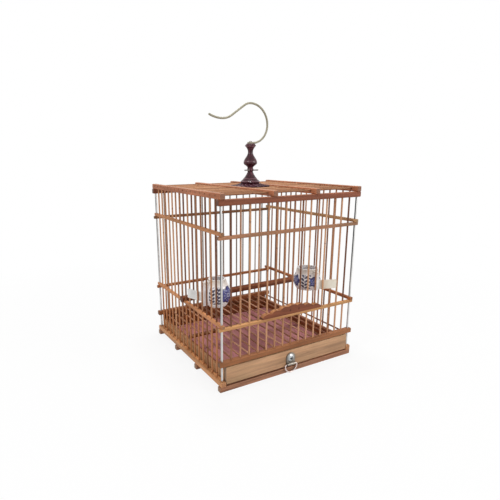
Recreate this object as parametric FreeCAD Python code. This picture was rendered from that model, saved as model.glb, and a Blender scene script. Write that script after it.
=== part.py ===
import FreeCAD, Part
import math
import os

# Square bird cage of wooden bars and thin sticks, in millimetres.
# The origin is the middle of the base, on the surface that the cage stands on.
# +X runs to the right along the drawer front, +Y runs to the back and +Z is up.

# Frame of stacked bars
WIDTH = 215.0
DEPTH = 210.0
HEIGHT = 240.0
ROD_INSET = 4.5
BASE_BAR = 7.0
TOP_BAR = 7.0
RING_BAR = 4.2
FLOOR_BAR_WIDTH = 7.0
FLOOR_BAR_HEIGHT = 6.5
FLOOR_BAR_UNDERSIDE = 33.0
LOWER_RING_UNDERSIDE = 78.4
UPPER_RING_DROP = 51.9
BAR_EDGE_RADIUS = 1.2
SLIM_EDGE_RADIUS = 0.8
BASE_RUNNERS = 4
REAR_BOARD_THICKNESS = 4.0
REAR_BOARD_END_GAP = 0.1

# Corner rods and sticks
ROD_RADIUS = 1.4
ROD_END_INSET = 0.5
STICK_RADIUS = 1.1
BAYS_ACROSS = 16
BAYS_DEEP = 16
STICK_SEAT = 2.5
HOLE_CLEARANCE = 0.05
ROOF_STICK_DROP = 2.8
ROOF_STICK_INSET = 0.4
FLOOR_STICK_RISE = 2.0
FLOOR_STICK_SEAT = 3.0
CROSS_STRIP_WIDTH = 6.0
CROSS_STRIP_HEIGHT = 4.0
CROSS_STRIP_OVERHANG = 2.0

# Lift door
DOOR_BAYS = 6
DOOR_SILL_MARGIN = 8.4
DOOR_SILL_FRONT = 3.5
DOOR_SILL_BACK = 2.5
DOOR_SILL_END = 2.4
DOOR_SILL_MIDDLE = 11.4
DOOR_LOBES = 7
DOOR_LOBE_RISE = 2.2
DOOR_STICK_FLOOR = 2.5
DOOR_STICK_TOP_INSET = 1.0
DOOR_STICK_CLEARANCE = 0.3
DOOR_REST_GAP = 0.1

# Drawer
DRAWER_SIDE_CLEARANCE = 0.6
DRAWER_RUNNING_GAP = 0.3
DRAWER_FRONT_GAP_BELOW = 2.6
DRAWER_FRONT_GAP_ABOVE = 1.1
DRAWER_FRONT_THICKNESS = 6.0
DRAWER_BOTTOM_THICKNESS = 3.0
DRAWER_SIDE_THICKNESS = 4.0
DRAWER_SIDE_HEIGHT = 15.5
DRAWER_BACK_INSET = 3.5
BOARD_EDGE_RADIUS = 0.5

# Drawer pull: a folded strap, its screw and a D-shaped ring
PULL_OFFSET = -1.5
STRAP_THICKNESS = 1.0
STRAP_HEAD_RADIUS = 7.4
STRAP_RING_GAP = 0.3
STRAP_LOOP_WALL = 0.9
SCREW_HEIGHT_ON_FRONT = 11.4
SCREW_SHANK_RADIUS = 1.5
SCREW_SHANK_LENGTH = 5.0
SCREW_HEAD_RADIUS = 5.6
SCREW_HEAD_HEIGHT = 2.2
SCREW_CROSS_WIDTH = 1.3
SCREW_CROSS_LENGTH = 5.5
SCREW_CROSS_DEPTH = 0.9
RING_WIRE_RADIUS = 0.9
RING_BAR_DROP = 8.4
RING_STRAIGHT = 14.0
RING_CORNER_RADIUS = 2.5
RING_CORNER_TURN = 96.0
RUNNING_CLEARANCE = 0.08

# Rosette between the middle roof bars, turned finial and swivelling hook
ROSETTE_BAR_GAP = 0.9
ROSETTE_THICKNESS = 4.0
ROSETTE_RIM = 1.2
ROSETTE_CROWN_RADIUS = 15.0
ROSETTE_LOBES = 18
ROSETTE_NOTCH = 1.0
ROSETTE_GROOVE_RADIUS = 1.2
ROSETTE_GROOVE_DEPTH = 0.6
ROSETTE_GROOVE_TWIST = 28.0
PIN_RADIUS = 1.5
PIN_FOOT = 0.5
PIN_HEAD_RADIUS = 2.6
PIN_HEAD_HEIGHT = 1.4
BASE_FOOT_RADIUS = 12.6
BASE_RIM_RADIUS = 13.75
BASE_RIM_RISE = 2.4
BASE_LOWER_GROOVE_RADIUS = 10.4
BASE_LOWER_GROOVE_RISE = 5.6
BASE_UPPER_GROOVE_RADIUS = 7.6
BASE_UPPER_GROOVE_RISE = 8.9
BASE_GROOVE_WIDTH = 0.9
BASE_HEAD_RADIUS = 3.7
BASE_HEIGHT = 15.5
CROSS_PIN_RADIUS = 0.8
CROSS_PIN_LENGTH = 22.0
CROSS_PIN_WALL = 0.5
SWIVEL_GAP = 0.1
SPINDLE_BEAD_RADIUS = 5.0
SPINDLE_BEAD_RISE = 2.4
SPINDLE_COLLAR_RADIUS = 3.9
SPINDLE_COLLAR_RISE = 5.4
SPINDLE_BELLY_RADIUS = 9.4
SPINDLE_BELLY_RISE = 12.3
SPINDLE_NECK_RADIUS = 3.45
SPINDLE_NECK_RISE = 26.4
SPINDLE_FLARE_RADIUS = 7.8
SPINDLE_FLARE_RISE = 35.0
SPINDLE_FLARE_LEAN = 45.0
SPINDLE_TOP_RADIUS = 5.6
SPINDLE_HEIGHT = 37.8
HOOK_WIRE_RADIUS = 1.4
HOOK_EYE_RADIUS = 4.4
HOOK_EYE_THICKNESS = 2.0
HOOK_START = 3.7
HOOK_QUARTER_TURN = 90.0
HOOK_RISE_RADIUS = 23.7
HOOK_CROWN_RADIUS = 27.5
HOOK_SHOULDER_RADIUS = 18.0
HOOK_SLOPE_TURN = 34.0
HOOK_SLOPE_LENGTH = 23.4
HOOK_DIP_RADIUS = 26.5
HOOK_TIP_RADIUS = 44.2
HOOK_TIP_TURN = 24.9

# Perch, laid across the lower ring between the side sticks
PERCH_RADIUS = 4.5
PERCH_BAYS_FROM_FRONT = 8.5
PERCH_AXIS_ABOVE_RING = 0.9
PERCH_OVERHANG = 2.4
PERCH_NOTCH_CLEARANCE = 0.3

# Porcelain cups, a tall jar on the left and a lower bowl on the right, and the flat clips that hold them
LEFT_CUP_HEIGHT = 36.0
LEFT_CUP_FOOT_RADIUS = 12.0
LEFT_CUP_BELLY_RADIUS = 18.0
LEFT_CUP_BELLY_RISE = 17.0
LEFT_CUP_SHOULDER_RADIUS = 13.4
LEFT_CUP_SHOULDER_RISE = 30.0
LEFT_CUP_RIM_RADIUS = 11.4
LEFT_CUP_UNDERSIDE = 90.0
LEFT_CUP_BAYS_FROM_FRONT = 5.5
LEFT_CLIP_RISE = 14.0
RIGHT_CUP_HEIGHT = 29.0
RIGHT_CUP_FOOT_RADIUS = 14.0
RIGHT_CUP_BELLY_RADIUS = 18.2
RIGHT_CUP_BELLY_RISE = 11.0
RIGHT_CUP_SHOULDER_RADIUS = 15.2
RIGHT_CUP_SHOULDER_RISE = 22.5
RIGHT_CUP_RIM_RADIUS = 14.2
RIGHT_CUP_UNDERSIDE = 102.4
RIGHT_CUP_BAYS_FROM_LEFT = 12.5
RIGHT_CLIP_RISE = 9.6
CUP_WALL = 2.2
CUP_FLOOR = 3.0
CUP_WALL_DISTANCE = 25.0
CUP_OFFSET_ALONG_WALL = 12.4
CLIP_THICKNESS = 2.0
CLIP_HEIGHT = 12.0
CLIP_REACH_OUT = 14.0
CLIP_REACH_IN = 15.0
CLIP_STICK_CLEARANCE = 0.15
CLIP_CORNER_RADIUS = 1.5
EAR_WIDTH = 4.5
EAR_UNDERSIDE = 2.0
EAR_RIM_DROP = 2.0
EAR_ROOT = 1.5
EAR_DOOR_GAP = 0.4

# Places worked out from the sizes above
ROD_X = WIDTH / 2 - ROD_INSET
ROD_Y = DEPTH / 2 - ROD_INSET
PITCH_X = 2 * ROD_X / BAYS_ACROSS
PITCH_Y = 2 * ROD_Y / BAYS_DEEP
BASE_TOP = 2 * BASE_BAR
FLOOR_BAR_TOP = FLOOR_BAR_UNDERSIDE + FLOOR_BAR_HEIGHT
LOWER_RING_SIDE = LOWER_RING_UNDERSIDE + RING_BAR
LOWER_RING_TOP = LOWER_RING_SIDE + RING_BAR
UPPER_RING_UNDERSIDE = HEIGHT - UPPER_RING_DROP
TOP_BAR_UNDERSIDE = HEIGHT - 2 * TOP_BAR
ROOF_BAR_UNDERSIDE = HEIGHT - TOP_BAR
ROOF_STICK_Z = HEIGHT - ROOF_STICK_DROP
FLOOR_STICK_Z = FLOOR_BAR_UNDERSIDE + FLOOR_STICK_RISE
DOOR_FIRST = (BAYS_ACROSS - DOOR_BAYS) // 2
DOOR_LAST = DOOR_FIRST + DOOR_BAYS
ROOF_MIDDLE_X = (DOOR_BAYS - 1) / 2 * PITCH_X
FRONT_FACE = -ROD_Y - BASE_BAR / 2
ROD_HOLE = ROD_RADIUS + HOLE_CLEARANCE
STICK_HOLE = STICK_RADIUS + HOLE_CLEARANCE
DOOR_HOLE = STICK_RADIUS + DOOR_STICK_CLEARANCE
SCREW_HOLE = SCREW_SHANK_RADIUS + HOLE_CLEARANCE

X_AXIS = FreeCAD.Vector(1, 0, 0)
Y_AXIS = FreeCAD.Vector(0, 1, 0)
Z_AXIS = FreeCAD.Vector(0, 0, 1)


def vec(x, y, z):
    return FreeCAD.Vector(x, y, z)


def bay_x(index):
    """X of a front or rear stick, counted from the left corner rod."""
    return -ROD_X + index * PITCH_X


def bay_y(index):
    """Y of a side or roof stick, counted from the front corner rod."""
    return -ROD_Y + index * PITCH_Y


def block(low, high, edge_radius):
    """A box between two corners with its edges rounded a little."""
    size = high - low
    box = Part.makeBox(size.x, size.y, size.z, low)
    return box.makeFillet(edge_radius, box.Edges)


def bar_across(y, underside, width, height, edge_radius):
    """A bar along X, as long as the cage is wide."""
    low = vec(-WIDTH / 2, y - width / 2, underside)
    high = vec(WIDTH / 2, y + width / 2, underside + height)
    return block(low, high, edge_radius)


def bar_deep(x, underside, width, height, edge_radius):
    """A bar along Y, as long as the cage is deep."""
    low = vec(x - width / 2, -DEPTH / 2, underside)
    high = vec(x + width / 2, DEPTH / 2, underside + height)
    return block(low, high, edge_radius)


def upright(x, y, low, high, radius):
    return Part.makeCylinder(radius, high - low, vec(x, y, low), Z_AXIS)


def rod_holes(points, low, high):
    """Cutters for the corner rods through one bar, past both faces."""
    return [upright(x, y, low - 1, high + 1, ROD_HOLE) for x, y in points]


def front_points(indexes):
    return [(bay_x(i), -ROD_Y) for i in indexes]


def rear_points(indexes):
    return [(bay_x(i), ROD_Y) for i in indexes]


def side_points(x):
    return [(x, bay_y(i)) for i in range(1, BAYS_DEEP)]


def stick_holes(points, low, high, radius):
    return [upright(x, y, low, high, radius) for x, y in points]


def sticks(points, low, high):
    return Part.makeCompound([upright(x, y, low, high, STICK_RADIUS) for x, y in points])


def turned(edges):
    """A solid turned about Z from a closed run of profile edges."""
    face = Part.Face(Part.Wire(edges))
    return face.revolve(vec(0, 0, 0), Z_AXIS, 360)


def spline(points):
    """A smooth profile through (radius, height) points."""
    curve = Part.BSplineCurve()
    curve.interpolate([vec(r, 0, z) for r, z in points])
    return curve.toShape()


def swelling(points, lean):
    """A smooth profile, upright at each (radius, height) point but the last, where it leans outwards."""
    curve = Part.BSplineCurve()
    tangents = [Z_AXIS for _ in points]
    tangents[-1] = vec(math.sin(math.radians(lean)), 0, math.cos(math.radians(lean)))
    flags = [True for _ in points]
    places = [vec(r, 0, z) for r, z in points]
    curve.interpolate(Points=places, Tangents=tangents, TangentFlags=flags)
    return curve.toShape()


def line(a, b):
    return Part.makeLine(vec(a[0], 0, a[1]), vec(b[0], 0, b[1]))


def save(name, shape):
    shape.exportStep("parts/" + name + ".step")


# Wall stick positions
all_front = list(range(1, BAYS_ACROSS))
door_bays = [i for i in all_front if DOOR_FIRST <= i <= DOOR_LAST]
left_bays = [i for i in all_front if i < DOOR_FIRST]
right_bays = [i for i in all_front if i > DOOR_LAST]
corners_front = [(-ROD_X, -ROD_Y), (ROD_X, -ROD_Y)]
corners_rear = [(-ROD_X, ROD_Y), (ROD_X, ROD_Y)]
corners_left = [(-ROD_X, -ROD_Y), (-ROD_X, ROD_Y)]
corners_right = [(ROD_X, -ROD_Y), (ROD_X, ROD_Y)]


def base_bars():
    """Four runners along X with a side rail on each end of them."""
    names = ["bottom_front_bar", "bottom_front_runner", "bottom_rear_runner", "bottom_rear_bar"]
    spacing = 2 * ROD_Y / (BASE_RUNNERS - 1)
    for i, name in enumerate(names):
        y = -ROD_Y + i * spacing
        shape = bar_across(y, 0, BASE_BAR, BASE_BAR, BAR_EDGE_RADIUS)
        if i in (0, BASE_RUNNERS - 1):
            shape = shape.cut(rod_holes([(-ROD_X, y), (ROD_X, y)], 0, BASE_BAR))
        save(name, shape)
    rails = (("bottom_left_rail", -ROD_X, corners_left), ("bottom_right_rail", ROD_X, corners_right))
    for name, x, corners in rails:
        shape = bar_deep(x, BASE_BAR, BASE_BAR, BASE_BAR, BAR_EDGE_RADIUS)
        holes = stick_holes(side_points(x), BASE_TOP - STICK_SEAT, BASE_TOP + 1, STICK_HOLE)
        save(name, shape.cut(rod_holes(corners, BASE_BAR, BASE_TOP) + holes))


def rear_board():
    """The fixed board that closes the drawer's space at the back, between the rails and the rear bars."""
    half = ROD_X - BASE_BAR / 2 - REAR_BOARD_END_GAP
    low = vec(-half, ROD_Y - REAR_BOARD_THICKNESS / 2, BASE_BAR)
    high = vec(half, ROD_Y + REAR_BOARD_THICKNESS / 2, FLOOR_BAR_UNDERSIDE)
    save("rear_board", block(low, high, BOARD_EDGE_RADIUS))


def floor_grate():
    """Floor bars at front and rear, the grate sticks between them and the strip under the sticks."""
    stick_xs = [bay_x(i + 0.5) for i in range(BAYS_ACROSS)]
    half_span = ROD_Y - FLOOR_BAR_WIDTH / 2 + FLOOR_STICK_SEAT
    for name, y, corners, points in (
        ("floor_front_bar", -ROD_Y, corners_front, front_points(all_front)),
        ("floor_rear_bar", ROD_Y, corners_rear, rear_points(all_front)),
    ):
        shape = bar_across(y, FLOOR_BAR_UNDERSIDE, FLOOR_BAR_WIDTH, FLOOR_BAR_HEIGHT, SLIM_EDGE_RADIUS)
        cutters = rod_holes(corners, FLOOR_BAR_UNDERSIDE, FLOOR_BAR_TOP)
        cutters += stick_holes(points, FLOOR_BAR_TOP - STICK_SEAT, FLOOR_BAR_TOP + 1, STICK_HOLE)
        for x in stick_xs:
            start = vec(x, -half_span, FLOOR_STICK_Z)
            cutters.append(Part.makeCylinder(STICK_HOLE, 2 * half_span, start, Y_AXIS))
        save(name, shape.cut(cutters))
    grate = []
    for x in stick_xs:
        start = vec(x, -half_span, FLOOR_STICK_Z)
        grate.append(Part.makeCylinder(STICK_RADIUS, 2 * half_span, start, Y_AXIS))
    save("floor_sticks", Part.makeCompound(grate))
    half_strip = stick_xs[-1] + STICK_RADIUS + CROSS_STRIP_OVERHANG
    strip_top = FLOOR_STICK_Z - STICK_RADIUS
    low = vec(-half_strip, -CROSS_STRIP_WIDTH / 2, strip_top - CROSS_STRIP_HEIGHT)
    high = vec(half_strip, CROSS_STRIP_WIDTH / 2, strip_top)
    save("floor_cross_strip", block(low, high, SLIM_EDGE_RADIUS))


def ring(name, underside):
    """Two bars along X with two bars along Y on top of them, drilled for every stick."""
    side = underside + RING_BAR
    top = side + RING_BAR
    upper = name == "upper_ring"
    front_bays = all_front if upper else left_bays + right_bays
    shape = bar_across(-ROD_Y, underside, RING_BAR, RING_BAR, SLIM_EDGE_RADIUS)
    cutters = rod_holes(corners_front, underside, side)
    for i in front_bays:
        radius = DOOR_HOLE if i in door_bays else STICK_HOLE
        cutters += stick_holes(front_points([i]), underside - 1, side + 1, radius)
    if not upper:
        cutters += stick_holes(front_points(door_bays), underside - 1, underside + STICK_SEAT, STICK_HOLE)
    save(name + "_front_bar", shape.cut(cutters))
    shape = bar_across(ROD_Y, underside, RING_BAR, RING_BAR, SLIM_EDGE_RADIUS)
    cutters = rod_holes(corners_rear, underside, side)
    cutters += stick_holes(rear_points(all_front), underside - 1, side + 1, STICK_HOLE)
    save(name + "_rear_bar", shape.cut(cutters))
    for end, x, corners in (("_left_bar", -ROD_X, corners_left), ("_right_bar", ROD_X, corners_right)):
        shape = bar_deep(x, side, RING_BAR, RING_BAR, SLIM_EDGE_RADIUS)
        cutters = rod_holes(corners, side, top)
        cutters += stick_holes(side_points(x), side - 1, top + 1, STICK_HOLE)
        save(name + end, shape.cut(cutters))


def roof():
    """Top bars at front and rear, four roof bars across them and the roof sticks through those."""
    ends = (("top_front_bar", -ROD_Y, corners_front), ("top_rear_bar", ROD_Y, corners_rear))
    for name, y, corners in ends:
        shape = bar_across(y, TOP_BAR_UNDERSIDE, TOP_BAR, TOP_BAR, BAR_EDGE_RADIUS)
        cutters = rod_holes(corners, TOP_BAR_UNDERSIDE, ROOF_BAR_UNDERSIDE)
        for i in all_front:
            point = [(bay_x(i), y)]
            if y < 0 and i in door_bays:
                cutters += stick_holes(point, TOP_BAR_UNDERSIDE - 1, ROOF_BAR_UNDERSIDE + 1, DOOR_HOLE)
            else:
                seat_top = TOP_BAR_UNDERSIDE + STICK_SEAT
                cutters += stick_holes(point, TOP_BAR_UNDERSIDE - 1, seat_top, STICK_HOLE)
        save(name, shape.cut(cutters))
    half_roof = ROD_X + TOP_BAR / 2 - ROOF_STICK_INSET
    roof_ys = [bay_y(i + 0.5) for i in range(BAYS_DEEP)]
    roof_cutters = []
    roof_pieces = []
    for y in roof_ys:
        start = vec(-half_roof, y, ROOF_STICK_Z)
        roof_pieces.append(Part.makeCylinder(STICK_RADIUS, 2 * half_roof, start, X_AXIS))
        roof_cutters.append(Part.makeCylinder(STICK_HOLE, WIDTH, vec(-WIDTH / 2, y, ROOF_STICK_Z), X_AXIS))
    save("roof_sticks", Part.makeCompound(roof_pieces))
    places = (
        ("roof_left_bar", -ROD_X, corners_left),
        ("roof_middle_left_bar", -ROOF_MIDDLE_X, []),
        ("roof_middle_right_bar", ROOF_MIDDLE_X, []),
        ("roof_right_bar", ROD_X, corners_right),
    )
    for name, x, corners in places:
        shape = bar_deep(x, ROOF_BAR_UNDERSIDE, TOP_BAR, TOP_BAR, BAR_EDGE_RADIUS)
        cutters = list(roof_cutters)
        if corners:
            cutters += rod_holes(corners, ROOF_BAR_UNDERSIDE, HEIGHT)
            seat_top = ROOF_BAR_UNDERSIDE + STICK_SEAT
            cutters += stick_holes(side_points(x), ROOF_BAR_UNDERSIDE - 1, seat_top, STICK_HOLE)
        save(name, shape.cut(cutters))


def uprights():
    """Corner rods and the fixed sticks of the four walls."""
    rods = []
    for x, y in corners_front + corners_rear:
        rods.append(upright(x, y, ROD_END_INSET, HEIGHT - ROD_END_INSET, ROD_RADIUS))
    save("corner_rods", Part.makeCompound(rods))
    wall_low = FLOOR_BAR_TOP - STICK_SEAT
    wall_high = TOP_BAR_UNDERSIDE + STICK_SEAT
    save("front_left_sticks", sticks(front_points(left_bays), wall_low, wall_high))
    save("front_right_sticks", sticks(front_points(right_bays), wall_low, wall_high))
    under_door_high = LOWER_RING_UNDERSIDE + STICK_SEAT
    save("under_door_sticks", sticks(front_points(door_bays), wall_low, under_door_high))
    save("rear_wall_sticks", sticks(rear_points(all_front), wall_low, wall_high))
    side_low = BASE_TOP - STICK_SEAT
    side_high = ROOF_BAR_UNDERSIDE + STICK_SEAT
    save("left_wall_sticks", sticks(side_points(-ROD_X), side_low, side_high))
    save("right_wall_sticks", sticks(side_points(ROD_X), side_low, side_high))


def lobe(a, b, rise):
    """An arc from a to b in the XZ plane that swells upwards by rise."""
    dx = b[0] - a[0]
    dz = b[1] - a[1]
    length = math.hypot(dx, dz)
    middle = ((a[0] + b[0]) / 2 - dz / length * rise, (a[1] + b[1]) / 2 + dx / length * rise)
    points = [vec(p[0], 0, p[1]) for p in (a, middle, b)]
    return Part.Arc(*points).toShape()


def lift_door():
    """A scalloped sill with its sticks, which slides up through the upper ring and the top bar."""
    floor = LOWER_RING_SIDE + DOOR_REST_GAP
    half = DOOR_BAYS / 2 * PITCH_X + DOOR_SILL_MARGIN
    # The valleys between the lobes lie on two straight slopes that meet over the middle.
    crest = []
    for i in range(DOOR_LOBES + 1):
        x = half * (2 * i / DOOR_LOBES - 1)
        height = DOOR_SILL_MIDDLE + (DOOR_SILL_END - DOOR_SILL_MIDDLE) * abs(x) / half
        crest.append((x, floor + height))
    edges = [line((-half, floor), crest[0])]
    for i in range(DOOR_LOBES):
        edges.append(lobe(crest[i], crest[i + 1], DOOR_LOBE_RISE))
    edges.append(line(crest[-1], (half, floor)))
    edges.append(line((half, floor), (-half, floor)))
    profile = Part.Face(Part.Wire(edges))
    profile.translate(vec(0, -ROD_Y - DOOR_SILL_FRONT, 0))
    sill = profile.extrude(vec(0, DOOR_SILL_FRONT + DOOR_SILL_BACK, 0))
    seat = floor + DOOR_STICK_FLOOR
    points = front_points(door_bays)
    above_sill = floor + 2 * DOOR_SILL_MIDDLE
    save("door_sill", sill.cut(stick_holes(points, seat, above_sill, STICK_HOLE)))
    save("door_sticks", sticks(points, seat, ROOF_BAR_UNDERSIDE - DOOR_STICK_TOP_INSET))


drawer_half = ROD_X - BASE_BAR / 2 - DRAWER_SIDE_CLEARANCE
front_low = BASE_BAR + DRAWER_FRONT_GAP_BELOW
front_high = FLOOR_BAR_UNDERSIDE - DRAWER_FRONT_GAP_ABOVE
pull_screw_z = front_low + SCREW_HEIGHT_ON_FRONT
ring_bar_y = FRONT_FACE - RING_WIRE_RADIUS - RUNNING_CLEARANCE - STRAP_LOOP_WALL
ring_bar_z = pull_screw_z - RING_BAR_DROP


def drawer():
    """A shallow tray on the runners: front, bottom, two sides and a back."""
    front_back = FRONT_FACE + DRAWER_FRONT_THICKNESS
    tray_back = ROD_Y - DRAWER_BACK_INSET
    bottom_low = BASE_BAR + DRAWER_RUNNING_GAP
    bottom_high = bottom_low + DRAWER_BOTTOM_THICKNESS
    side_high = bottom_high + DRAWER_SIDE_HEIGHT
    low = vec(-drawer_half, FRONT_FACE, front_low)
    high = vec(drawer_half, front_back, front_high)
    front = block(low, high, BOARD_EDGE_RADIUS)
    pilot_start = vec(PULL_OFFSET, FRONT_FACE - STRAP_THICKNESS, pull_screw_z)
    pilot = Part.makeCylinder(SCREW_HOLE, SCREW_SHANK_LENGTH, pilot_start, Y_AXIS)
    save("drawer_front", front.cut(pilot))
    bottom = Part.makeBox(2 * drawer_half, tray_back - front_back, DRAWER_BOTTOM_THICKNESS,
                          vec(-drawer_half, front_back, bottom_low))
    save("drawer_bottom", bottom)
    inner = drawer_half - DRAWER_SIDE_THICKNESS
    for name, low_x in (("drawer_left_side", -drawer_half), ("drawer_right_side", inner)):
        side = Part.makeBox(DRAWER_SIDE_THICKNESS, tray_back - front_back, DRAWER_SIDE_HEIGHT,
                            vec(low_x, front_back, bottom_high))
        save(name, side)
    low = vec(-inner, tray_back - DRAWER_SIDE_THICKNESS, bottom_high)
    high = vec(inner, tray_back, side_high)
    save("drawer_back", block(low, high, BOARD_EDGE_RADIUS))


def pull():
    """The hanger strap, its screw and the ring that hangs in the strap's loop."""
    loop_inner = RING_WIRE_RADIUS + RUNNING_CLEARANCE
    loop_outer = loop_inner + STRAP_LOOP_WALL
    half_foot = RING_STRAIGHT / 2 - STRAP_RING_GAP
    # The strap's sides run tangent from its round head to the ends of its loop.
    aim = math.atan2(-RING_BAR_DROP, half_foot)
    touch = aim + math.acos(STRAP_HEAD_RADIUS / math.hypot(half_foot, RING_BAR_DROP))
    side = STRAP_HEAD_RADIUS * math.cos(touch)
    side_z = pull_screw_z + STRAP_HEAD_RADIUS * math.sin(touch)
    head_start = vec(PULL_OFFSET, FRONT_FACE - STRAP_THICKNESS, pull_screw_z)
    head = Part.makeCylinder(STRAP_HEAD_RADIUS, STRAP_THICKNESS, head_start, Y_AXIS)
    outline = [
        vec(-half_foot, 0, ring_bar_z),
        vec(half_foot, 0, ring_bar_z),
        vec(side, 0, side_z),
        vec(-side, 0, side_z),
    ]
    web = Part.Face(Part.makePolygon(outline + outline[:1]))
    web.translate(vec(PULL_OFFSET, FRONT_FACE - STRAP_THICKNESS, 0))
    web = web.extrude(vec(0, STRAP_THICKNESS, 0))
    loop_start = vec(PULL_OFFSET - half_foot, ring_bar_y, ring_bar_z)
    loop = Part.makeCylinder(loop_outer, 2 * half_foot, loop_start, X_AXIS)
    strap = head.fuse([web, loop])
    bore = Part.makeCylinder(loop_inner, 2 * half_foot, loop_start, X_AXIS)
    screw_hole = Part.makeCylinder(SCREW_HOLE, STRAP_THICKNESS, head_start, Y_AXIS)
    save("hanger_strap", strap.cut([bore, screw_hole]).removeSplitter())

    seat = FRONT_FACE - STRAP_THICKNESS
    tip = seat + SCREW_SHANK_LENGTH
    seat_middle = vec(PULL_OFFSET, seat, pull_screw_z)
    shank = Part.makeCylinder(SCREW_SHANK_RADIUS, tip - seat, seat_middle, Y_AXIS)
    dome_radius = (SCREW_HEAD_RADIUS ** 2 + SCREW_HEAD_HEIGHT ** 2) / (2 * SCREW_HEAD_HEIGHT)
    dome = Part.makeSphere(dome_radius, seat_middle + vec(0, dome_radius - SCREW_HEAD_HEIGHT, 0))
    keep = Part.makeCylinder(2 * SCREW_HEAD_RADIUS, 2 * SCREW_HEAD_HEIGHT, seat_middle, -Y_AXIS)
    screw = dome.common(keep).fuse(shank)
    half_long = SCREW_CROSS_LENGTH / 2
    half_wide = SCREW_CROSS_WIDTH / 2
    crown = seat - SCREW_HEAD_HEIGHT
    cross = []
    for half_x, half_z in ((half_long, half_wide), (half_wide, half_long)):
        corner = vec(PULL_OFFSET - half_x, crown - SCREW_CROSS_DEPTH, pull_screw_z - half_z)
        cross.append(Part.makeBox(2 * half_x, 2 * SCREW_CROSS_DEPTH, 2 * half_z, corner))
    save("hanger_screw", screw.cut(cross).removeSplitter())

    # The ring's line: the straight bar, two tight corners and one wide arc below.
    turn = math.radians(RING_CORNER_TURN)
    half_bar = RING_STRAIGHT / 2
    wide = RING_CORNER_RADIUS + half_bar / math.sin(turn)
    wide_z = ring_bar_z - RING_CORNER_RADIUS + (RING_CORNER_RADIUS - wide) * math.cos(turn)

    def corner_point(sign, angle):
        x = half_bar + RING_CORNER_RADIUS * math.sin(angle)
        z = ring_bar_z - RING_CORNER_RADIUS + RING_CORNER_RADIUS * math.cos(angle)
        return vec(PULL_OFFSET + sign * x, ring_bar_y, z)

    right = [corner_point(1, k * turn / 2) for k in range(3)]
    left = [corner_point(-1, k * turn / 2) for k in range(3)]
    bottom = vec(PULL_OFFSET, ring_bar_y, wide_z - wide)
    path = Part.Wire([
        Part.makeLine(left[0], right[0]),
        Part.Arc(*right).toShape(),
        Part.Arc(right[2], bottom, left[2]).toShape(),
        Part.Arc(left[2], left[1], left[0]).toShape(),
    ])
    section = Part.Wire(Part.makeCircle(RING_WIRE_RADIUS, left[0], X_AXIS))
    save("pull_ring", path.makePipeShell([section], True, False))


rosette_low = ROOF_STICK_Z + STICK_RADIUS
base_low = rosette_low + ROSETTE_THICKNESS
base_high = base_low + BASE_HEIGHT
spindle_low = base_high + SWIVEL_GAP
eye_low = spindle_low + SPINDLE_HEIGHT
pin_head_low = eye_low + HOOK_EYE_THICKNESS + SWIVEL_GAP
fixed_pin_hole = upright(0, 0, rosette_low - 1, pin_head_low + 1, PIN_RADIUS + HOLE_CLEARANCE)
turning_pin_hole = upright(0, 0, rosette_low - 1, pin_head_low + 1, PIN_RADIUS + RUNNING_CLEARANCE)


def polar(radius, angle, z):
    return vec(radius * math.cos(angle), radius * math.sin(angle), z)


def rosette():
    """A round carved piece that lies on the roof sticks, with a lobed rim and slanting grooves."""
    radius = ROOF_MIDDLE_X - TOP_BAR / 2 - ROSETTE_BAR_GAP
    rim_z = rosette_low + ROSETTE_RIM
    crown = (ROSETTE_CROWN_RADIUS, base_low)
    dome = turned([
        line((0, rosette_low), (radius, rosette_low)),
        line((radius, rosette_low), (radius, rim_z)),
        line((radius, rim_z), crown),
        line(crown, (0, base_low)),
        line((0, base_low), (0, rosette_low)),
    ])
    step = 2 * math.pi / ROSETTE_LOBES
    valley = radius - ROSETTE_NOTCH
    edges = []
    grooves = []
    for i in range(ROSETTE_LOBES):
        angle = i * step
        lobe_points = (
            polar(valley, angle, rosette_low),
            polar(radius, angle + step / 2, rosette_low),
            polar(valley, angle + step, rosette_low),
        )
        edges.append(Part.Arc(*lobe_points).toShape())
        lift = ROSETTE_GROOVE_RADIUS - ROSETTE_GROOVE_DEPTH
        outer = polar(radius, angle, rim_z + lift)
        inner_angle = angle + math.radians(ROSETTE_GROOVE_TWIST)
        inner = polar(ROSETTE_CROWN_RADIUS, inner_angle, base_low + lift)
        run = inner - outer
        grooves.append(Part.makeCylinder(ROSETTE_GROOVE_RADIUS, run.Length, outer, run))
    outline = Part.Face(Part.Wire(edges)).extrude(vec(0, 0, ROSETTE_THICKNESS))
    save("roof_rosette", dome.common(outline).cut(grooves + [fixed_pin_hole]))


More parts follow.
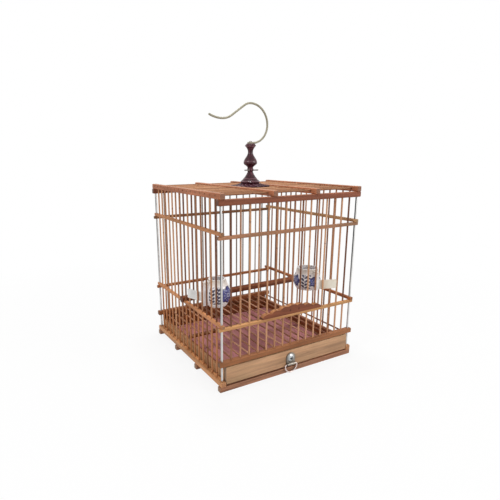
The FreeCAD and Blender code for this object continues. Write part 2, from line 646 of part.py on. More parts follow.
def finial():
    """The turned base, the turning spindle, its cross pin and the pin through them all."""
    foot = (BASE_FOOT_RADIUS, base_low)
    rim = (BASE_RIM_RADIUS, base_low + BASE_RIM_RISE)
    lower_groove = (BASE_LOWER_GROOVE_RADIUS, base_low + BASE_LOWER_GROOVE_RISE)
    upper_groove = (BASE_UPPER_GROOVE_RADIUS, base_low + BASE_UPPER_GROOVE_RISE)
    head = (BASE_HEAD_RADIUS, base_high)
    base = turned([
        line((0, base_low), foot),
        line(foot, rim),
        spline([rim, lower_groove, upper_groove, head]),
        line(head, (0, base_high)),
        line((0, base_high), (0, base_low)),
    ])
    cutters = [fixed_pin_hole]
    for r, z in (lower_groove, upper_groove):
        cutters.append(Part.makeTorus(r, BASE_GROOVE_WIDTH / 2, vec(0, 0, z)))
    save("finial_base", base.cut(cutters))

    rises = (
        (BASE_HEAD_RADIUS, 0),
        (SPINDLE_BEAD_RADIUS, SPINDLE_BEAD_RISE),
        (SPINDLE_COLLAR_RADIUS, SPINDLE_COLLAR_RISE),
        (SPINDLE_BELLY_RADIUS, SPINDLE_BELLY_RISE),
        (SPINDLE_NECK_RADIUS, SPINDLE_NECK_RISE),
        (SPINDLE_FLARE_RADIUS, SPINDLE_FLARE_RISE),
    )
    profile = [(r, spindle_low + rise) for r, rise in rises]
    top = (SPINDLE_TOP_RADIUS, eye_low)
    spindle = turned([
        line((0, spindle_low), profile[0]),
        swelling(profile, SPINDLE_FLARE_LEAN),
        line(profile[-1], top),
        line(top, (0, eye_low)),
        line((0, eye_low), (0, spindle_low)),
    ])
    # The cross pin goes through the bead beside the upright pin, with a wall of wood between them.
    beside = PIN_RADIUS + RUNNING_CLEARANCE + CROSS_PIN_WALL + CROSS_PIN_RADIUS
    pin_start = vec(-CROSS_PIN_LENGTH / 2, -beside, spindle_low + SPINDLE_BEAD_RISE)
    cross_hole = Part.makeCylinder(CROSS_PIN_RADIUS + HOLE_CLEARANCE, CROSS_PIN_LENGTH, pin_start, X_AXIS)
    save("finial_spindle", spindle.cut([turning_pin_hole, cross_hole]))
    save("cross_pin", Part.makeCylinder(CROSS_PIN_RADIUS, CROSS_PIN_LENGTH, pin_start, X_AXIS))

    dome_radius = (PIN_HEAD_RADIUS ** 2 + PIN_HEAD_HEIGHT ** 2) / (2 * PIN_HEAD_HEIGHT)
    dome = Part.makeSphere(dome_radius, vec(0, 0, pin_head_low + PIN_HEAD_HEIGHT - dome_radius))
    keep = upright(0, 0, pin_head_low, pin_head_low + 2 * PIN_HEAD_HEIGHT, 2 * PIN_HEAD_RADIUS)
    shank = upright(0, 0, rosette_low + PIN_FOOT, pin_head_low, PIN_RADIUS)
    save("swivel_pin", dome.common(keep).fuse(shank).removeSplitter())


class HookPath:
    """A run of lines and arcs in the XZ plane, each tangent to the last."""

    def __init__(self, x, z):
        self.x = x
        self.z = z
        self.heading = 0.0
        self.edges = []

    def point(self):
        return vec(self.x, 0, self.z)

    def forward(self, length):
        start = self.point()
        self.x += length * math.cos(self.heading)
        self.z += length * math.sin(self.heading)
        self.edges.append(Part.makeLine(start, self.point()))

    def arc(self, radius, degrees):
        """Turn left by a positive angle or right by a negative one."""
        side = 1 if degrees > 0 else -1
        centre_x = self.x - side * radius * math.sin(self.heading)
        centre_z = self.z + side * radius * math.cos(self.heading)
        points = [self.point()]
        first = self.heading
        for share in (0.5, 1.0):
            self.heading = first + math.radians(degrees) * share
            self.x = centre_x + side * radius * math.sin(self.heading)
            self.z = centre_z - side * radius * math.cos(self.heading)
            points.append(self.point())
        self.edges.append(Part.Arc(*points).toShape())


def hook():
    """The bent wire with a flat eye round the pin."""
    path = HookPath(HOOK_START, eye_low + HOOK_EYE_THICKNESS / 2)
    path.arc(HOOK_RISE_RADIUS, HOOK_QUARTER_TURN)
    path.arc(HOOK_CROWN_RADIUS, HOOK_QUARTER_TURN)
    path.arc(HOOK_SHOULDER_RADIUS, HOOK_SLOPE_TURN)
    path.forward(HOOK_SLOPE_LENGTH)
    path.arc(HOOK_DIP_RADIUS, -HOOK_SLOPE_TURN)
    path.arc(HOOK_TIP_RADIUS, -HOOK_TIP_TURN)
    start = vec(HOOK_START, 0, eye_low + HOOK_EYE_THICKNESS / 2)
    section = Part.Wire(Part.makeCircle(HOOK_WIRE_RADIUS, start, X_AXIS))
    wire = Part.Wire(path.edges).makePipeShell([section], True, False)
    tip = Part.makeSphere(HOOK_WIRE_RADIUS, path.point())
    eye = upright(0, 0, eye_low, eye_low + HOOK_EYE_THICKNESS, HOOK_EYE_RADIUS)
    below = upright(0, 0, eye_low - HOOK_EYE_RADIUS, eye_low, 4 * HOOK_EYE_RADIUS)
    over = upright(0, 0, eye_low + HOOK_EYE_THICKNESS, eye_low + 2 * HOOK_EYE_RADIUS, HOOK_EYE_RADIUS)
    shape = wire.fuse([tip, eye]).cut([below, over, turning_pin_hole])
    save("hook_wire", shape.removeSplitter())


def perch():
    """A round perch across the cage, notched to sit on the lower ring's side bars."""
    half = ROD_X + RING_BAR / 2 + PERCH_OVERHANG
    y = bay_y(PERCH_BAYS_FROM_FRONT)
    axis_z = LOWER_RING_TOP + PERCH_AXIS_ABOVE_RING
    rod = Part.makeCylinder(PERCH_RADIUS, 2 * half, vec(-half, y, axis_z), X_AXIS)
    slot = RING_BAR + 2 * PERCH_NOTCH_CLEARANCE
    notches = []
    for x in (-ROD_X, ROD_X):
        corner = vec(x - slot / 2, y - 2 * PERCH_RADIUS, LOWER_RING_TOP - 4 * PERCH_RADIUS)
        notches.append(Part.makeBox(slot, 4 * PERCH_RADIUS, 4 * PERCH_RADIUS, corner))
    save("perch", rod.cut(notches))


left_outline = [
    (LEFT_CUP_FOOT_RADIUS, 0),
    (LEFT_CUP_BELLY_RADIUS, LEFT_CUP_BELLY_RISE),
    (LEFT_CUP_SHOULDER_RADIUS, LEFT_CUP_SHOULDER_RISE),
    (LEFT_CUP_RIM_RADIUS, LEFT_CUP_HEIGHT),
]
right_outline = [
    (RIGHT_CUP_FOOT_RADIUS, 0),
    (RIGHT_CUP_BELLY_RADIUS, RIGHT_CUP_BELLY_RISE),
    (RIGHT_CUP_SHOULDER_RADIUS, RIGHT_CUP_SHOULDER_RISE),
    (RIGHT_CUP_RIM_RADIUS, RIGHT_CUP_HEIGHT),
]


def pot(low, outline):
    """A round form from a flat underside through a curved belly and a straight neck."""
    foot, belly, shoulder, rim = outline
    return turned([
        line((0, low), foot),
        spline([foot, belly, shoulder]),
        line(shoulder, rim),
        line(rim, (0, rim[1])),
        line((0, rim[1]), (0, low)),
    ])


def cup_and_clip(side, pitch, underside, outline, clip_rise):
    """A cup and its clip, drawn beside a wall along X with the outside towards -Y."""
    foot_radius = outline[0][0]
    rim_radius, height = outline[-1]
    inner = [(foot_radius - CUP_WALL / 2, CUP_FLOOR)]
    inner += [(radius - CUP_WALL, rise) for radius, rise in outline[1:]]
    body = pot(0, outline)
    hollow = pot(CUP_FLOOR, inner)
    axis_x = -CUP_OFFSET_ALONG_WALL
    ear_face = DOOR_SILL_BACK + EAR_DOOR_GAP
    ear_back = CUP_WALL_DISTANCE - rim_radius + EAR_ROOT
    low = vec(axis_x - EAR_WIDTH / 2, ear_face, EAR_UNDERSIDE)
    high = vec(axis_x + EAR_WIDTH / 2, ear_back, height - EAR_RIM_DROP)
    ear = block(low, high, SLIM_EDGE_RADIUS)
    place = vec(axis_x, CUP_WALL_DISTANCE, 0)
    body.translate(place)
    hollow.translate(place)
    # The clip leans so far that it passes one stick on the inside and the next on the outside.
    stand_off = STICK_RADIUS + CLIP_THICKNESS / 2 + CLIP_STICK_CLEARANCE
    turn = math.degrees(math.asin(stand_off / (pitch / 2)))

    def plate(extra):
        half_high = CLIP_HEIGHT / 2 + extra
        half_thick = CLIP_THICKNESS / 2 + extra
        corner = vec(-CLIP_REACH_IN - extra, -half_thick, clip_rise - half_high)
        box = Part.makeBox(CLIP_REACH_IN + CLIP_REACH_OUT + 2 * extra, 2 * half_thick, 2 * half_high, corner)
        upright_edges = [e for e in box.Edges if abs(e.tangentAt(e.FirstParameter).y) > 0.9]
        box = box.makeFillet(CLIP_CORNER_RADIUS, upright_edges)
        box.rotate(vec(0, 0, 0), Z_AXIS, -turn)
        return box

    clip = plate(0)
    cup = body.fuse(ear).cut([hollow, plate(HOLE_CLEARANCE)])
    for shape in (cup, clip):
        if side == "left":
            shape.rotate(vec(0, 0, 0), Z_AXIS, -90)
    if side == "left":
        mirror_at = vec(0, 0, 0)
        cup = cup.mirror(mirror_at, Y_AXIS)
        clip = clip.mirror(mirror_at, Y_AXIS)
        place = vec(-ROD_X, bay_y(LEFT_CUP_BAYS_FROM_FRONT), underside)
    else:
        place = vec(bay_x(RIGHT_CUP_BAYS_FROM_LEFT), -ROD_Y, underside)
    cup.translate(place)
    clip.translate(place)
    save(side + "_cup", cup)
    save(side + "_cup_clip", clip)


os.makedirs("parts", exist_ok=True)
base_bars()
rear_board()
floor_grate()
ring("lower_ring", LOWER_RING_UNDERSIDE)
ring("upper_ring", UPPER_RING_UNDERSIDE)
roof()
uprights()
lift_door()
drawer()
pull()
rosette()
finial()
hook()
perch()
cup_and_clip("left", PITCH_Y, LEFT_CUP_UNDERSIDE, left_outline, LEFT_CLIP_RISE)
cup_and_clip("right", PITCH_X, RIGHT_CUP_UNDERSIDE, right_outline, RIGHT_CLIP_RISE)
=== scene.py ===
import math

import bpy
from mathutils import Matrix, Vector


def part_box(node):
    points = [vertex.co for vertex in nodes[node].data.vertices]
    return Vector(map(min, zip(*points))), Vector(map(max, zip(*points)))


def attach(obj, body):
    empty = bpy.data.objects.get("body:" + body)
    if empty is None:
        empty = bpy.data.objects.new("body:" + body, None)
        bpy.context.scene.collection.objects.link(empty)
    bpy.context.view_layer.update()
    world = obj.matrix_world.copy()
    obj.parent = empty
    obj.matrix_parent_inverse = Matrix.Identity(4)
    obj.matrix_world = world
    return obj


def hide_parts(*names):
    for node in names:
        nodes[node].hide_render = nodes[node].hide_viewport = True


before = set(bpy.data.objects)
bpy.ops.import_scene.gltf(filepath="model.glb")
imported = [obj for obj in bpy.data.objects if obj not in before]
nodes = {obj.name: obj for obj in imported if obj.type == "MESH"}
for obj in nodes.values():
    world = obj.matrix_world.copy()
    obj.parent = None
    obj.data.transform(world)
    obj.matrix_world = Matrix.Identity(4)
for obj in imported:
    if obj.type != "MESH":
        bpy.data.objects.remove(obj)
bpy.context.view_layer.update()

AXES = {"x": 0, "y": 1, "z": 2}
WHITE = (1.0, 1.0, 1.0, 1.0)
MM = 1000

# Wood: noise scales are across and along the grain
FIBRE_STRETCH = 28
FIGURE_SCALE = (120, 7)
FIGURE_SHARE = 0.55
WEATHER_SCALE = (46, 13)
WEATHER_SHIFT = (0.3, 0.7, 0.2)
WEATHER_LIFT = 1.06
STAIN_SCALE = (40, 15)
PORE_SCALE = (2600, 55)
PORE_SHADE = (0.66, 0.58, 0.52, 1.0)
# Small dark round marks: how squashed they are, how far they reach and their tone
MARK_SQUASH = 0.7
MARK_REACH = (0.0006, 0.0017)
MARK_TONE = (58, 22, 22)
PITH = (0.0031, 0.0047, -0.0024)
RING_WANDER = 0.0012
RING_RATE = 6200.0
END_SHADE = 0.84
SAWN_END = 0.72

# Sticks
LOWER_RING_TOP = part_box("lower_ring_left_bar")[1].z
# Painted light: sticks turn paler below the lower ring over this height
LOW_TONE_FADE = 0.012
PALER_DRAW = 17.0
JOINT_DRAW = 40.0
JOINTS_PER_METRE = 6.5
JOINT_TONE = (150, 120, 100)
FIBRE_SHADE = (0.64, 0.58, 0.52, 1.0)

# Lacquer and metal
DUST_TONE = (128, 90, 92)
RIM_HIGHLIGHT_TONE = (150, 108, 118)
RIM_HIGHLIGHT_WIDTH = (0.0002, 0.0009)
# Painted shade inside the screw's cross recess
RECESS_SHADE_TONE = (22, 24, 26)

# Painting on the cups, in millimetres
POSITIVE_TURNS = 20
PETALS = 5.0
PETAL_REACH = 5.6
PETAL_SWELL = 0.9
BRUSH_WOBBLE = 2.6
OUTLINE_HALF = 0.5
VEIN_LIMIT = 0.82
VEIN_REACH = (2.6, 5.0)
HEART_REACH = (1.0, 1.9)
LEAF_PITCH = 4.6
LEAF_STAGGER = 0.37
LEAF_HALF = (2.4, 1.75)
STEM_RATE = 0.7
STEM_SWING = 1.2
STEM_HALF = 0.3
BLOSSOM_MARGIN = 0.8
EAR_MARGIN = 0.3
RIM_BAND = (3.6, 1.0)


def tone(r, g, b):
    """A colour written in display values, turned into the linear values that shaders use."""
    out = []
    for value in (r, g, b):
        c = value / 255
        out.append(c / 12.92 if c <= 0.04045 else ((c + 0.055) / 1.055) ** 2.4)
    return (out[0], out[1], out[2], 1.0)


def shades(colour, spread):
    """A darker, the given and a lighter version of one colour."""
    dark = [c * (1 - spread) for c in colour]
    light = [min(255, c * (1 + spread * 0.6)) for c in colour]
    return tone(*dark), tone(*colour), tone(*light)


def greyed(colour, scale):
    """A brighter or darker version of a colour, drawn a quarter of the way to grey."""
    grey = sum(colour) / 3
    return [min(255, scale * (0.75 * c + 0.25 * grey)) for c in colour]


class Shader:
    """A node material under construction."""

    def __init__(self, name):
        self.material = bpy.data.materials.new(name)
        self.material.use_nodes = True
        self.tree = self.material.node_tree
        self.surface = self.tree.nodes["Principled BSDF"]
        coordinates = self.add("ShaderNodeTexCoord")
        self.place = coordinates.outputs["Object"]
        self.facing = coordinates.outputs["Normal"]

    def add(self, kind, **settings):
        node = self.tree.nodes.new(kind)
        for key, value in settings.items():
            setattr(node, key, value)
        return node

    def join(self, source, target):
        self.tree.links.new(source, target)

    def put(self, socket, value):
        if isinstance(value, bpy.types.NodeSocket):
            self.join(value, socket)
        else:
            socket.default_value = value

    def set(self, name, value):
        self.put(self.surface.inputs[name], value)

    def math(self, operation, a, b=0.0, c=0.0):
        node = self.add("ShaderNodeMath", operation=operation)
        for socket, value in zip(node.inputs, (a, b, c)):
            self.put(socket, value)
        return node.outputs[0]

    def product(self, *factors):
        out = factors[0]
        for factor in factors[1:]:
            out = self.math("MULTIPLY", out, factor)
        return out

    def split(self, vector):
        node = self.add("ShaderNodeSeparateXYZ")
        self.join(vector, node.inputs[0])
        return tuple(node.outputs)

    def mapped(self, scale, location=(0, 0, 0), vector=None):
        node = self.add("ShaderNodeMapping")
        node.inputs["Scale"].default_value = scale
        node.inputs["Location"].default_value = location
        self.join(vector or self.place, node.inputs["Vector"])
        return node.outputs["Vector"]

    def noise(self, vector, detail=4.0, roughness=0.55, distortion=0.0):
        node = self.add("ShaderNodeTexNoise")
        node.inputs["Scale"].default_value = 1.0
        node.inputs["Detail"].default_value = detail
        node.inputs["Roughness"].default_value = roughness
        node.inputs["Distortion"].default_value = distortion
        self.join(vector, node.inputs["Vector"])
        return node.outputs["Fac"]

    def draw(self, number):
        """A fixed value between 0 and 1 for each whole number."""
        node = self.add("ShaderNodeTexWhiteNoise", noise_dimensions="1D")
        self.join(number, node.inputs["W"])
        return node.outputs["Value"]

    def ramp(self, factor, stops):
        node = self.add("ShaderNodeValToRGB")
        elements = node.color_ramp.elements
        while len(elements) < len(stops):
            elements.new(0.5)
        for element, (position, colour) in zip(elements, stops):
            element.position = position
            element.color = colour
        self.join(factor, node.inputs["Fac"])
        return node.outputs["Color"]

    def span(self, factor, low, high, to_low, to_high):
        """The factor's stretch from low to high, drawn out to the two other values and held there."""
        node = self.add("ShaderNodeMapRange")
        node.inputs["From Min"].default_value = low
        node.inputs["From Max"].default_value = high
        node.inputs["To Min"].default_value = to_low
        node.inputs["To Max"].default_value = to_high
        self.join(factor, node.inputs["Value"])
        return node.outputs["Result"]

    def within(self, value, low, high):
        """1 between two limits and 0 elsewhere."""
        return self.product(self.math("GREATER_THAN", value, low), self.math("LESS_THAN", value, high))

    def mix(self, blend, factor, a, b):
        node = self.add("ShaderNodeMix", data_type="RGBA", blend_type=blend)
        for socket, value in ((node.inputs[0], factor), (node.inputs[6], a), (node.inputs[7], b)):
            self.put(socket, value)
        return node.outputs[2]

    def distance(self, vector):
        node = self.add("ShaderNodeVectorMath", operation="LENGTH")
        self.join(vector, node.inputs[0])
        return node.outputs["Value"]

    def bump(self, height, strength, distance):
        node = self.add("ShaderNodeBump")
        node.inputs["Strength"].default_value = strength
        node.inputs["Distance"].default_value = distance
        self.join(height, node.inputs["Height"])
        self.join(node.outputs["Normal"], self.surface.inputs["Normal"])

    def edges(self):
        """1 on rounded edges and 0 on faces that lie square to an axis."""
        x, y, z = [self.math("ABSOLUTE", part) for part in self.split(self.facing)]
        largest = self.math("MAXIMUM", x, self.math("MAXIMUM", y, z))
        return self.span(largest, 0.8, 0.985, 1.0, 0.0)


def stretched(axis, across, along):
    """A noise scale that differs along one axis."""
    scale = [across, across, across]
    scale[AXES[axis]] = along
    return tuple(scale)


def wood(name, axis, colour, tint=None, ends=None, top=None, shaded_inside=None, spread=0.2, grain=420.0,
         rough=0.52, bump=0.25, stain=0.24, edge_wear_and_highlight=0.25, dark_marks=()):
    """Sawn and oiled wood: grain along one axis, rings on the sawn ends, edges lighter partly from
    wear and partly as painted highlight, optional painted highlight on upward faces and painted shade
    on inner faces.
    """
    s = Shader(name)
    dark, middle, light = shades(colour, spread)
    fibre = s.noise(s.mapped(stretched(axis, grain, grain / FIBRE_STRETCH)),
                    detail=7, roughness=0.62, distortion=0.6)
    figure = s.noise(s.mapped(stretched(axis, *FIGURE_SCALE)), detail=3, distortion=0.6)
    streaks = s.math("MULTIPLY_ADD", figure, FIGURE_SHARE, s.product(fibre, 1 - FIGURE_SHARE))
    face = s.ramp(streaks, ((0.36, dark), (0.5, middle), (0.63, light)))
    # Painted highlight: faces that look up take the lighter top tone
    if top:
        upward = s.span(s.split(s.facing)[2], 0.55, 0.95, 0.0, 1.0)
        lit_from_above = s.product(upward, s.span(fibre, 0.3, 0.6, 0.55, 1.0))
        face = s.mix("MIX", lit_from_above, face, tone(*top))
    weather = s.noise(s.mapped(stretched(axis, *WEATHER_SCALE), WEATHER_SHIFT), detail=3)
    weathered = tone(*(tint or greyed(colour, WEATHER_LIFT)))
    face = s.mix("MIX", s.span(weather, 0.48, 0.74, 0.0, 0.5), face, weathered)
    patches = s.noise(s.mapped(stretched(axis, *STAIN_SCALE)), detail=3)
    deep = 1 - stain
    stained = s.ramp(patches, ((0.3, (deep, deep * 0.97, deep * 0.94, 1)), (0.62, WHITE)))
    face = s.mix("MULTIPLY", 1.0, face, stained)
    pores = s.noise(s.mapped(stretched(axis, *PORE_SCALE)), detail=2)
    face = s.mix("MULTIPLY", 0.7, face, s.ramp(pores, ((0.3, PORE_SHADE), (0.42, WHITE))))
    # Small dark round marks at the given places
    for mark_x, mark_z in dark_marks:
        off_mark = s.distance(s.mapped((1, 0, MARK_SQUASH), (-mark_x, 0, -MARK_SQUASH * mark_z)))
        face = s.mix("MIX", s.span(off_mark, *MARK_REACH, 0.7, 0.0), face, tone(*MARK_TONE))
    # Painted shade: faces on the inner side of the given limit take a darker tone
    if shaded_inside:
        limit, inner_shade_tone = shaded_inside
        across = s.math("ABSOLUTE", s.split(s.place)[0])
        face = s.mix("MIX", s.math("LESS_THAN", across, limit), face, tone(*inner_shade_tone))
    # Lighter rounded edges: partly wear, partly a painted highlight where edges catch the light
    scuffs = s.noise(s.mapped((160, 160, 160)), detail=4)
    worn_and_lit_edges = s.product(s.edges(), s.span(scuffs, 0.35, 0.65, 0.2, 1.0), edge_wear_and_highlight)
    face = s.mix("SCREEN", worn_and_lit_edges, face, light)
    off_pith = s.distance(s.mapped(stretched(axis, 1, 0), PITH))
    ring_noise = s.noise(s.mapped((300, 300, 300)), detail=2)
    wander = s.math("MULTIPLY_ADD", ring_noise, RING_WANDER, off_pith)
    rings = s.span(s.math("SINE", s.product(wander, RING_RATE)), -1, 1, 0, 1)
    end_dark, end_middle, end_light = shades(ends or greyed(colour, END_SHADE), 0.2)
    end = s.ramp(rings, ((0.1, end_dark), (0.45, end_middle), (0.9, end_light)))
    lengthwise = s.math("ABSOLUTE", s.split(s.facing)[AXES[axis]])
    s.set("Base Color", s.mix("MIX", s.math("GREATER_THAN", lengthwise, SAWN_END), face, end))
    s.set("Roughness", s.span(fibre, 0.2, 0.8, rough + 0.1, rough - 0.08))
    s.set("Specular IOR Level", 0.2)
    s.bump(s.math("ADD", fibre, s.product(pores, 0.6)), bump, 0.0004)
    return s.material


def cane(name, axis, spaced, pitch, shift, seed, stops, lit_low_tone=None, rough=0.46):
    """Thin split sticks in a row: each has its own tone, faint fibres and a joint ring; below the
    lower ring some take a paler tone as painted light.
    """
    s = Shader(name)
    row = s.split(s.place)[AXES[spaced]]
    number = s.math("ADD", s.math("FLOOR", s.math("MULTIPLY_ADD", row, 1 / pitch, shift)), seed)
    drift = s.noise(s.mapped(stretched(axis, 60, 16)), detail=2)
    blend = s.math("MULTIPLY_ADD", s.draw(number), 0.6, s.product(drift, 0.4))
    last = len(stops) - 1
    colour = s.ramp(blend, [(0.2 + 0.6 * i / last, tone(*stop)) for i, stop in enumerate(stops)])
    # Painted light: below the lower ring many sticks take a paler tone for the light on the lower
    # walls
    if lit_low_tone:
        height = s.split(s.place)[2]
        below = s.span(height, LOWER_RING_TOP, LOWER_RING_TOP - LOW_TONE_FADE, 0.0, 1.0)
        drawn = s.draw(s.math("ADD", number, PALER_DRAW))
        paler = s.product(below, s.span(drawn, 0.25, 0.5, 0.1, 1.0))
        colour = s.mix("MIX", paler, colour, tone(*lit_low_tone))
    fibre = s.noise(s.mapped(stretched(axis, 1500, 24)), detail=4, roughness=0.6)
    colour = s.mix("MULTIPLY", 0.75, colour, s.ramp(fibre, ((0.32, FIBRE_SHADE), (0.58, WHITE))))
    along = s.split(s.place)[AXES[axis]]
    start = s.draw(s.math("ADD", number, JOINT_DRAW))
    joint = s.math("FRACT", s.math("MULTIPLY_ADD", along, JOINTS_PER_METRE, start))
    off = s.math("ABSOLUTE", s.math("SUBTRACT", joint, 0.5))
    colour = s.mix("MULTIPLY", s.span(off, 0.002, 0.007, 0.7, 0.0), colour, tone(*JOINT_TONE))
    swell = s.span(off, 0.0, 0.02, 1.0, 0.0)
    s.set("Base Color", colour)
    s.set("Roughness", s.span(fibre, 0.2, 0.8, rough + 0.12, rough - 0.06))
    s.set("Specular IOR Level", 0.2)
    s.bump(s.math("ADD", fibre, swell), 0.3, 0.0003)
    return s.material


def lacquer(name, dark, middle, light, dusty, gloss, coat, highlight_rings=()):
    """Dark turned wood under a thin gloss, with fine tool rings and painted highlights as pale rings
    at given heights.
    """
    s = Shader(name)
    fibre = s.noise(s.mapped((500, 500, 60)), detail=5, distortion=0.5)
    colour = s.ramp(fibre, ((0.3, tone(*dark)), (0.52, tone(*middle)), (0.72, tone(*light))))
    dust = s.noise(s.mapped((240, 240, 240)), detail=4)
    upward = s.span(s.split(s.facing)[2], 0.3, 0.95, 0.0, 1.0)
    settled = s.product(upward, s.span(dust, 0.35, 0.7, 0.0, dusty))
    colour = s.mix("MIX", settled, colour, tone(*DUST_TONE))
    level = s.split(s.place)[2]
    # Painted highlights: pale rings at the given heights
    for band, weight in highlight_rings:
        off_highlight = s.math("ABSOLUTE", s.math("SUBTRACT", level, band))
        on_highlight = s.span(off_highlight, *RIM_HIGHLIGHT_WIDTH, weight, 0.0)
        colour = s.mix("MIX", on_highlight, colour, tone(*RIM_HIGHLIGHT_TONE))
    s.set("Base Color", colour)
    rings = s.noise(s.mapped((40, 40, 1800)), detail=2)
    s.set("Roughness", s.span(fibre, 0.2, 0.8, 0.4, 0.28))
    s.set("Specular IOR Level", gloss)
    s.set("Coat Weight", coat)
    s.set("Coat Roughness", 0.18)
    s.bump(rings, 0.12, 0.0003)
    return s.material


def metal(name, colour, shade, rough, along="z", scale=1400.0, bump=0.06, metallic=1.0,
          shaded_side=None, shaded_recess=None):
    """Drawn or pressed metal with fine lines, a little dulling and painted shade on one side."""
    s = Shader(name)
    lines = s.noise(s.mapped(stretched(along, scale, scale / 40)), detail=3)
    dull = s.noise(s.mapped((60, 60, 60)), detail=4)
    base = s.ramp(dull, ((0.34, tone(*shade)), (0.6, tone(*colour))))
    # Painted shade: faces turned to the given side darken, more so higher up, a dark reflection
    # painted into the colour
    if shaded_side:
        low, high, shade_tone, away = shaded_side
        x, y, _ = s.split(s.facing)
        side = s.math("MULTIPLY_ADD", x, away[0], s.product(y, away[1]))
        rise = s.span(s.split(s.place)[2], low, high, 0.3, 1.0)
        side_shaded = s.product(s.span(side, -0.1, 0.45, 0.0, 1.0), rise)
        base = s.mix("MIX", side_shaded, base, tone(*shade_tone))
    # Painted shade: the cross recess of the screw head is coloured dark
    if shaded_recess:
        middle_x, face_y, middle_z, radius = shaded_recess
        reach = s.distance(s.mapped((1, 0, 1), (-middle_x, 0, -middle_z)))
        near = s.math("LESS_THAN", reach, radius)
        deep = s.math("GREATER_THAN", s.split(s.place)[1], face_y)
        base = s.mix("MIX", s.product(near, deep), base, tone(*RECESS_SHADE_TONE))
    s.set("Base Color", base)
    s.set("Metallic", metallic)
    s.set("Roughness", s.span(lines, 0.25, 0.75, rough + 0.08, rough - 0.04))
    s.bump(lines, bump, 0.0001)
    return s.material


def plastic(name, colour, shade):
    """Moulded plate with faint flow marks and scuffs."""
    s = Shader(name)
    flow = s.noise(s.mapped((90, 90, 40)), detail=5)
    s.set("Base Color", s.ramp(flow, ((0.3, tone(*shade)), (0.6, tone(*colour)))))
    s.set("Roughness", s.span(flow, 0.2, 0.8, 0.45, 0.3))
    scuff = s.noise(s.mapped((900, 900, 900)), detail=2)
    s.bump(scuff, 0.08, 0.0002)
    return s.material


